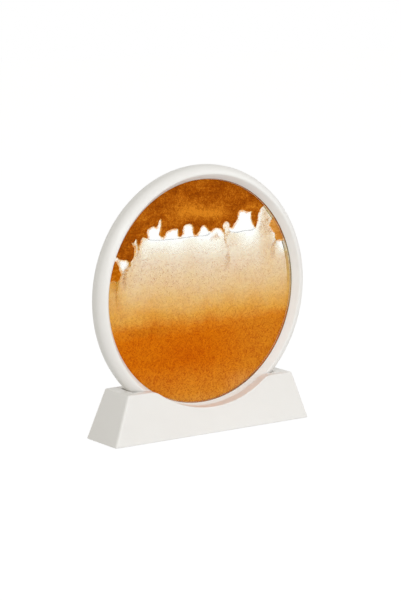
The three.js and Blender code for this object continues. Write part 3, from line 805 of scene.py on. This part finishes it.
def bell(n, value, centre, width):
    """1 at the centre, falling smoothly to 0 at width away."""
    away = n.math("ABSOLUTE", n.math("SUBTRACT", value, centre))
    return n.span(away, 0, width, 1, 0, smooth=True)


def new_sand(name):
    """The node builder, the point in mm, its x and its height over the ring's centre."""
    n = new_material(name)
    point = n.place()
    parts = n.add("SeparateXYZ", {0: point}).outputs
    return n, point, parts["X"], n.math("SUBTRACT", parts["Z"], CENTRE_Z)


def stones(n, point, size):
    """Cells about size mm across: a random tone for each, and the distance to its middle."""
    node = n.add("TexVoronoi", {"Vector": point, "Scale": 1 / size})
    tone = n.add("SeparateColor", {0: node.outputs["Color"]}).outputs[0]
    return tone, node.outputs["Distance"]


def grains(n, point):
    """Clumps, small clumps and single grains, each from 0 to 1, and a height for the bump."""
    coarse = n.span(n.noise(point, CLUMP_SIZE, 2, 0.6), 0.25, 0.75)
    middle, _ = stones(n, point, SMALL_CLUMP_SIZE)
    fine, fine_distance = stones(n, point, GRAIN_SIZE)
    return coarse, middle, fine, n.math("SUBTRACT", 1, fine_distance)


def centred(n, value, strength):
    """Noise around 0 instead of 0.5, and scaled."""
    return n.times(n.math("SUBTRACT", value, 0.5), strength)


def speckled(n, colour, speckle, red=0.45):
    """The colour, lighter or darker by speckle, of which only the share red reaches the red."""
    parts = n.add("CombineXYZ", {0: red, 1: 1, 2: 1}).outputs[0]
    change = n.vector("SCALE", {0: parts, "Scale": speckle})[0]
    return n.vector("MULTIPLY", {0: colour, 1: n.vector("ADD", {0: change, 1: (1, 1, 1)})[0]})[0]


def attribute(n, name):
    return n.add("Attribute", attribute_name=name).outputs["Fac"]


def finish_sand(n, colour, grain_height, bump, alpha=1):
    return n.finish(n.add("BsdfPrincipled", {
        "Base Color": colour, "Roughness": 0.85, "Specular IOR Level": 0, "Alpha": alpha,
        "Normal": n.bump(grain_height, bump, 0.6),
    }))


def unshaded(colour):
    """What is seen behind the pane, in the lip's shade, as the colour of the sand itself."""
    return (*[min(1, c * SAND_GAIN) for c in colour[:3]], 1)


def sand_colour(rgb):
    return unshaded(linear(rgb))


def fall_stops():
    """Ramp stops of the grains' own colour, and of the share of the view that they cover."""
    colours, covers = [], []
    for height, rgb in sorted(FALL):
        shown = linear(rgb)
        cover = min(1, COVER_GAIN * (1 - shown[2]))
        place = (height - FALL_LOW) / (FALL_HIGH - FALL_LOW)
        own = [max(0, 1 - (1 - c) / cover) for c in shown[:3]]
        colours.append((place, unshaded(own)))
        covers.append((place, (cover, cover, cover, 1)))
    return colours, covers


def fall_height(n, point, x, height):
    """The height that sets the sand's density: wavy, and lower where more sand falls."""
    wave = centred(n, n.noise(point, 21, 3, stretch=(1, 1, 1.8)), 8)
    streaks = centred(n, n.noise(point, 7, 3, stretch=(1, 1, 0.35)), 5)
    moved = n.total(height, wave, streaks)
    for centre, width, drop, low, high in DENSE_PLACES:
        above = n.times(n.span(height, low, high), drop)
        moved = n.math("SUBTRACT", moved, n.times(bell(n, x, centre, width), above))
    return moved


def falling_look(name, see_through):
    """Falling and settled sand: a colour by height, patches of other tones with a painted reflection, and the
    grain.
    """
    n, point, x, height = new_sand(name)
    coarse, middle, fine, grain_height = grains(n, point)
    colours, covers = fall_stops()
    place = n.span(fall_height(n, point, x, height), FALL_LOW, FALL_HIGH)
    blotch = n.span(n.noise(point, 13, 4, 0.6, stretch=(0.7, 1, 1.4)), 0.42, 0.7)
    golden = n.times(bell(n, height, -13, 12), n.span(n.noise(point, 15, 3), 0.4, 0.62))
    right = n.times(n.span(x, 6, 60, smooth=True), n.span(height, -28, -20, 1, 0))
    hollow = n.times(bell(n, x, -12, 34), bell(n, height, -44, 18))
    bed_top = bell(n, n.total(height, centred(n, coarse, 3)), -24.5, 4.5)
    drift = n.times(bell(n, x, -46, 30), bed_top)
    # foot is a paler patch at the bottom right: a painted reflection of a light streak on the pane, not a
    # tone of the sand
    foot = n.times(n.span(height, -72, -58, 1, 0, smooth=True), n.span(x, 14, 38, smooth=True))
    colour = n.ramp(place, colours)
    for patch, share, rgb in (
        (blotch, 0.16, (196, 92, 4)), (golden, 0.12, (232, 168, 62)), (right, 0.5, (198, 126, 34)),
        (hollow, 0.5, (188, 84, 4)), (drift, 0.5, (176, 96, 12)), (foot, 0.4, (222, 160, 88)),
    ):
        colour = n.mix(n.times(patch, share), colour, sand_colour(rgb))
    specks = n.times(n.math("SUBTRACT", SQUARE_MEAN, n.math("POWER", fine, 2)), 0.95)
    grain = n.total(centred(n, coarse, 0.25), centred(n, middle, 0.35), specks)
    speckle = n.times(n.span(height, -30, -8, 0.66, 0.28), grain)
    colour = speckled(n, colour, speckle, n.span(height, -30, -8, 0.45, 0.65))
    alpha = 1
    if see_through:
        cover = n.ramp(place, covers)
        rim = n.span(attribute(n, "edge_mm"), 0, 0.9, 0.15, 1, smooth=True)
        thinner = n.times(speckle, 0.6, n.math("SUBTRACT", 1, cover))
        cover = n.times(cover, n.math("SUBTRACT", 1, thinner), attribute(n, "cover"))
        alpha = n.math("MULTIPLY", cover, rim, clamp=True)
    return finish_sand(n, colour, grain_height, GRAIN_BUMP, alpha)


def packed_look(name, dark, medium, light, band=False):
    """Sand packed against the pane: layers laid down by earlier falls, with grain on top."""
    n, point, x, height = new_sand(name)
    coarse, middle, fine, grain_height = grains(n, point)
    layers = n.noise(point, 14, 4, 0.62, stretch=(0.6, 1, 1.4), shift=(3.1, 0, 1.7))
    tone = n.total(layers, centred(n, n.noise(point, 5, 3, 0.6, stretch=(0.85, 1, 1.1)), 0.4))
    if band:
        tilt = n.total(height, n.times(x, 0.04))
        glow = n.times(bell(n, tilt, 56.5, 9), bell(n, x, -4, 40), 0.44)
        dark_patch = n.times(bell(n, tilt, 69, 8), bell(n, x, -28, 20), -0.12)
        low_patch = n.times(bell(n, height, 49, 5), bell(n, x, 6, 26), -0.06)
        tone = n.total(tone, glow, dark_patch, low_patch)
    tone = n.total(tone, centred(n, coarse, 0.14), centred(n, middle, 0.14), centred(n, fine, 0.32))
    stops = [(0, sand_colour(dark)), (0.5, sand_colour(medium)), (1, sand_colour(light))]
    colour = n.ramp(n.span(tone, 0.14, 0.92), stops)
    return finish_sand(n, colour, grain_height, PACKED_BUMP)


def loose_look(name, light, dark, edge_width):
    """A thin scatter of grains that lets the white water show through and thins out to its edge."""
    n, point, _, _ = new_sand(name)
    coarse, middle, _, grain_height = grains(n, point)
    mottle = n.total(n.times(coarse, 0.6), n.times(middle, 0.4))
    colour = n.mix(n.span(mottle, 0.36, 0.62), sand_colour(light), sand_colour(dark))
    rim = n.span(attribute(n, "edge_mm"), 0, edge_width, 0, 1, smooth=True)
    cover = n.times(attribute(n, "cover"), n.total(1, centred(n, mottle, 1.4)))
    alpha = n.math("MULTIPLY", cover, rim, clamp=True)
    return finish_sand(n, colour, grain_height, GRAIN_BUMP, alpha)


def seal_painted_light_look():
    """The clear seal's face, speckled, in tones that follow the sand beside it (cream above the settled sand,
    orange elsewhere), lightened as painted light against its shade.
    """
    n, point, _, height = new_sand("seal_painted_light_look")
    coarse, middle, fine, grain_height = grains(n, point)
    wave = n.total(height, centred(n, n.noise(point, 6, 2), 6))
    flat = n.vector("MULTIPLY", {0: point, 1: (1, 0, 1)})[0]
    radius = n.vector("DISTANCE", {0: flat, 1: (0, 0, CENTRE_Z)})["Value"]
    # Tones much lighter than the sand beside them: painted light that lifts the shade between the panes
    colour = n.ramp(n.span(wave, -80, 80), [(place, linear(rgb)) for place, rgb in SEAL_TONES])
    colour = speckled(n, colour, n.total(centred(n, middle, 0.2), centred(n, fine, 0.35)))
    outside = n.span(radius, SEAL_INNER + 0.02, SEAL_INNER + 0.15)
    colour = n.mix(outside, linear(SEAL_EDGE_TONE), colour)
    return finish_sand(n, colour, grain_height, GRAIN_BUMP)


UPPER_SAND = packed_look("upper_sand_look", (122, 52, 4), (163, 82, 9), (206, 126, 30), band=True)
LEFT_LUMP_SAND = packed_look("left_lump_look", (150, 66, 0), (178, 94, 3), (210, 134, 40))
RIGHT_LUMP_SAND = packed_look("right_lump_look", (170, 92, 18), (202, 132, 50), (228, 172, 96))
SINGLE_GRAIN = packed_look("single_grain_look", (150, 74, 14), (192, 116, 40), (236, 190, 120))
FALLING_SAND = falling_look("falling_sand_look", True)
SETTLED_SAND = falling_look("settled_sand_look", False)
FRINGE = loose_look("fringe_look", (242, 196, 110), (226, 158, 76), 1.7)
THREAD = loose_look("thread_look", (208, 156, 54), (184, 124, 18), 1)
COLUMN_GRAINS = loose_look("column_grain_look", (244, 206, 140), (196, 142, 70), 2.2)


# Seal and gaskets, with sections as (radius, y)

SEAL_SECTION = [(SEAL_INNER, -1.2), (84, -1.2), (84, 1.2), (SEAL_INNER, 1.2)]
SEAL_GATE_HALF = 2.3
GASKET_SECTION = [(79.9, 2.3), (79.98, 2.6), (81.95, 2.6), (81.95, 2.3)]
SEAL_STEPS = 240


def add_seal():
    """The seal, open at the top where the stopper sits."""
    gate = math.asin(SEAL_GATE_HALF / SEAL_INNER)
    angles = np.linspace(math.pi / 2 + gate, 2.5 * math.pi - gate, SEAL_STEPS + 1)
    verts, faces = sweep(turned(SEAL_SECTION, angles))
    new_piece("seal_ring", verts, faces, seal_painted_light_look(), "ring", ["cell_seal"], TURNED_SHARP)


def add_gaskets():
    front = [(r, -y) for r, y in GASKET_SECTION]
    for side, section in (("front", front), ("rear", GASKET_SECTION[::-1])):
        verts, faces = lathe(section, SEAL_STEPS)
        name, nodes = f"gasket_ring_{side}", [f"gasket_{side}"]
        new_piece(name, verts, faces, RUBBER, "ring", nodes, TURNED_SHARP)


add_seal()
add_gaskets()


# Sand pieces

def ragged_field(line, seed, coarse=0.35, fine=0.25):
    return lambda x, z: inside_distance(x, z, line) + ragged(x, z, seed, coarse, fine)


def add_packed_sand():
    """The sand that hangs above and the settled bed."""
    upper = ragged_field(np.vstack([smooth_line(UPPER_EDGE, 4, closed=False), UPPER_OUTSIDE]), 11)

    def bed(x, z):
        level = np.interp(x, *np.array(BED_LINE).T)
        return level - z + 0.9 * wobble(x, z, 5, 31) + 0.4 * wobble(x, z, 1.3, 32)

    sheet("upper_sand", upper, (-80, 80, 22, 81), 0.4, UPPER_SAND, ["sand_upper"],
          relief=0.12, seed=61)
    sheet("settled_sand", bed, (-80, 80, -81, -16), 0.6, SETTLED_SAND, ["sand_bed"],
          round_to=0.05, relief=0.06, seed=71)


MIST_NEAR_PANE, MIST_DEEP, MIST_BACK = FRONT_Y + 0.06, -0.4, -0.04
MIST_HEIGHTS, MIST_RADII = (-21, -6), (75, 79.2)


def mist_front(x, z):
    """The falling sand's front: close to the pane at the bed and at the seal, and deeper elsewhere."""
    near_edge = np.interp(np.hypot(x, z), MIST_RADII, [0, 1])
    front = np.interp(z, MIST_HEIGHTS, [MIST_NEAR_PANE, MIST_DEEP])
    return front + (MIST_NEAR_PANE - front) * near_edge


def add_falling_sand():
    mist = ragged_field(smooth_line(MIST_EDGE, 2), 51, 0.4, 0.3)
    sheet("falling_sand", mist, (-80, 80, -30, 62), 0.6, FALLING_SAND, ["sand_rain"],
          front=mist_front, back=MIST_BACK, round_to=0.5)


def add_lumps():
    """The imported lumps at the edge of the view."""
    left = ragged_field(smooth_line(LEFT_LUMP, 4), 91)
    right = ragged_field(smooth_line(RIGHT_LUMP, 4), 95)
    sheet("edge_lump_left", left, (-80, -64, 8, 32), 0.3, LEFT_LUMP_SAND, ["sand_lump_left"],
          relief=0.12, seed=91)
    sheet("edge_lump_right", right, (56, 80, 26, 54), 0.3, RIGHT_LUMP_SAND,
          ["sand_lump_right"], relief=0.12, seed=95)


# Threads of falling sand: the line that each follows, with its half width and its cover along the line
THREADS = [
    ([(19.6, 42), (19.9, 38.2), (20.7, 34.1), (22.5, 30.7), (23.1, 27.4), (22.9, 21.9), (22.5, 14.7)],
     [1.4, 1.3, 1.3, 1.3, 1.6, 2.4, 2.2], [0.8, 0.62, 0.42, 0.24, 0.2, 0.32, 0.1]),
    ([(-54.4, 36.4), (-54.2, 33.2), (-55, 30.4), (-55.2, 26.6)],
     [1.5, 1.3, 1.2, 1], [0.8, 0.5, 0.25, 0.1]),
    ([(-61, 26.6), (-62, 23.2), (-65.2, 18.6), (-66, 14.1), (-65.4, 7)],
     [1.2, 1.7, 2.4, 2.2, 1.4], [0.75, 0.6, 0.5, 0.4, 0.1]),
    ([(-71.6, 14.4), (-72.4, 7.3), (-72.3, 1.9), (-71.2, -5)],
     [1.5, 1.4, 1.3, 1], [0.8, 0.55, 0.4, 0.1]),
    ([(66.6, 32.6), (64.8, 28.6), (63.4, 25.6), (63.7, 20)],
     [1.2, 1.4, 2.2, 2.4], [0.75, 0.5, 0.5, 0.1]),
]


def add_threads():
    for i, (line, widths, covers) in enumerate(THREADS):
        curve = smooth_line(line, 6, closed=False)
        stations = np.linspace(0, 1, len(widths))

        def field(x, z):
            distance, passed = nearest(x, z, curve)
            return np.interp(passed, stations, widths) - distance + ragged(x, z, 101 + 3 * i, 0.35, 0.35)

        def cover(x, z):
            return np.interp(nearest(x, z, curve)[1], stations, covers)

        sheet(f"thread_{i + 1}", field, window_around(curve, 4), 0.3, THREAD,
              [f"sand_stream_{i + 1}"], front=-1.1, back=-0.7, round_to=0.4, cover=cover)


FRINGE_WIDTH = 1.8


def add_fringes():
    """The thin fringe of single grains along the free edges of the packed sand."""
    lines = {
        "upper_sand_fringe": smooth_line(UPPER_EDGE, 4, closed=False),
        "lump_fringe_left": smooth_line(LEFT_LUMP, 4),
        "lump_fringe_right": smooth_line(RIGHT_LUMP, 4),
    }
    for i, (name, line) in enumerate(lines.items()):
        def field(x, z):
            return FRINGE_WIDTH - nearest(x, z, line)[0] + ragged(x, z, 131 + 3 * i, 0.3, 0.3)

        def cover(x, z):
            return 0.62 + 0.2 * wobble(x, z, 3.1, 161 + i)

        sheet(name, field, window_around(line, 3), 0.4, FRINGE,
              front=-1, back=-0.12, round_to=0.5, cover=cover)


# Cream patches of thinner sand, each with its cover
PATCHES = [
    ("column_right", 0.3, [
        (52.6, 55.6), (55.4, 58.6), (57.8, 54.8), (62.4, 47.6), (60.6, 43.4), (63.4, 38.4), (62, 35),
        (56, 34), (52.4, 35.6), (49.6, 38.5), (49, 42), (50.6, 47),
    ]),
    ("channel_left", 0.5, [
        (-60.4, 38.8), (-57.6, 40.2), (-55, 37.6), (-55.4, 33.6), (-57.2, 27.2), (-59.2, 29.4), (-58.8, 35),
    ]),
    ("veil_left", 0.4, [
        (-53.6, 37.2), (-51.6, 41.4), (-49.4, 42), (-46, 41.4), (-50, 38), (-51, 33.2), (-52.4, 27.6),
        (-54.4, 30.4),
    ]),
    ("veil_middle", 0.42, [
        (6.6, 36.6), (8.2, 40), (10.6, 41.6), (13.4, 41.8), (15.6, 39.6), (17, 36.6), (13.4, 34), (9, 34.4),
    ]),
    ("plume_middle", 0.5, [
        (18.8, 43.6), (18.6, 45.6), (21.2, 48.6), (24.4, 45.4), (24, 42.2), (25.4, 40.2), (22, 35.2),
        (20.4, 39.2),
    ]),
]


def add_patches():
    for i, (name, share, outline) in enumerate(PATCHES):
        def cover(x, z):
            return share * (1 + 0.35 * wobble(x, z, 2.3, 171 + i))

        field = ragged_field(smooth_line(outline, 4), 151 + 3 * i, 0.6, 0.5)
        sheet(name, field, window_around(outline, 3), 0.4, COLUMN_GRAINS,
              front=-0.9, back=-0.5, round_to=0.4, cover=cover)


# The water's surface in the air pockets: a thin film between the panes that curls up where it meets the sand,
# in a grey that is painted shade
WATER_LINES = [
    ("water_line_left", [
        (-45.6, 41.2), (-44.6, 40.2), (-42.8, 39.7), (-34.7, 39), (-26, 38.9), (-18.4, 39), (-5.2, 39.4),
        (2, 39.2), (4.4, 39.3), (6.6, 39.9), (7.6, 41),
    ]),
    ("water_line_right", [
        (24.2, 42), (25, 41), (27, 40), (31.5, 39.5), (38.3, 40), (44.1, 40), (46.4, 40.6), (47.4, 41.6),
    ]),
]
FILM_TOP = [(-1.15, 0.22), (-0.8, 0), (0, -0.06), (0.8, 0), (1.15, 0.22)]
FILM_THICKNESS = 0.13
FILM_SHARP = 50


def film_look():
    n = new_material("water_line_look")
    point = n.place()
    # The grey is painted shade: it stands in for the dark line that the curved water surface shows by bending
    # light
    shader = n.add("BsdfPrincipled", {
        "Base Color": n.mix(n.noise(point, 5, 2), linear((196, 202, 206)), linear((222, 226, 228))),
        "Roughness": 0.12,
        "Alpha": n.span(n.noise(point, 3, 2), 0.3, 0.7, 0.15, 0.45),
    })
    return n.finish(shader)


def add_water_lines():
    material = film_look()
    bottom = [(y, lift - FILM_THICKNESS) for y, lift in FILM_TOP]
    section = bottom + FILM_TOP[::-1]
    for name, line in WATER_LINES:
        curve = smooth_line(line, 6, closed=False)
        verts, faces = sweep([[ring_point(x, y, z + lift) for y, lift in section] for x, z in curve])
        new_piece(name, verts, faces, material, "ring", sharp_over=FILM_SHARP)


# Single grains in the water, as small rough stones
GRAIN_COUNT, GRAIN_SEED = 2600, 7
GRAIN_RADII, GRAIN_STRETCH, GRAIN_TILT = (0.1, 0.24), (0.7, 1.25), 0.6
GRAIN_X, GRAIN_Y, GRAIN_Z = (-79, 79), (-0.85, -0.55), (-24, 58)
GRAIN_MARGIN = 0.6
STONE_CORNERS = [(1, 0, 0), (-1, 0, 0), (0, 1, 0), (0, -1, 0), (0, 0, 1), (0, 0, -1)]
STONE_SIDES = [(0, 2, 4), (2, 1, 4), (1, 3, 4), (3, 0, 4), (2, 0, 5), (1, 2, 5), (3, 1, 5), (0, 3, 5)]

# How likely a grain is at a height; over the water there are none but in the right column
CHANCE_HEIGHTS, CHANCES = [-12, 4, 14, 30, 38, 60], [0, 0.3, 0.8, 0.6, 0.08, 0.6]
WATER_TOP, RIGHT_COLUMN = 41, (50, 62)


def grain_chance(x, z, mist_line):
    if z > WATER_TOP and not RIGHT_COLUMN[0] < x < RIGHT_COLUMN[1]:
        return 0
    inside = inside_distance(np.array([x]), np.array([z]), mist_line)[0] > GRAIN_MARGIN
    return inside * float(np.interp(z, CHANCE_HEIGHTS, CHANCES))


def add_grains():
    rng = np.random.default_rng(GRAIN_SEED)
    mist_line = smooth_line(MIST_EDGE, 1)
    corners = np.array(STONE_CORNERS, float)
    verts, faces = [], []
    made = 0
    while made < GRAIN_COUNT:
        x, z = rng.uniform(*GRAIN_X), rng.uniform(*GRAIN_Z)
        if math.hypot(x, z) > SEAL_INNER - GRAIN_MARGIN or rng.uniform() > grain_chance(x, z, mist_line):
            continue
        y = rng.uniform(*GRAIN_Y)
        radius = rng.uniform(*GRAIN_RADII)
        turn, tilt = rng.uniform(0, math.tau), rng.uniform(-GRAIN_TILT, GRAIN_TILT)
        points = corners * (rng.uniform(*GRAIN_STRETCH, 3) * radius)
        spin = np.array(Matrix.Rotation(turn, 3, "Y") @ Matrix.Rotation(tilt, 3, "X"))
        first = len(verts)
        verts += [ring_point(x + p[0], y + p[1], z + p[2]) for p in points @ spin.T]
        faces += [tuple(first + k for k in side) for side in STONE_SIDES]
        made += 1
    new_piece("loose_grains", verts, faces, SINGLE_GRAIN, "ring")


add_packed_sand()
add_falling_sand()
add_lumps()
add_threads()
add_fringes()
add_patches()
add_water_lines()
add_grains()


# Finish

NODE_LOOKS = {
    "bottom_plate": WHITE, "fill_plug": RUBBER, "water": WATER, "glass_front": GLASS, "glass_rear": GLASS,
    **{f"base_screw_{i}": STEEL for i in (1, 2, 3, 4)},
    **{f"foot_pad_{i}": GREY_RUBBER for i in (1, 2, 3, 4)},
}
for node_name, look in NODE_LOOKS.items():
    node_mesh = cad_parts[node_name].data
    node_mesh.materials.clear()
    node_mesh.materials.append(look)

# The sand's grain stays only where the denoiser doesn't smooth its guides
scene = bpy.context.scene
scene.view_settings.view_transform = "Standard"
scene.cycles.transparent_max_bounces = 24
scene.cycles.denoising_prefilter = "NONE"
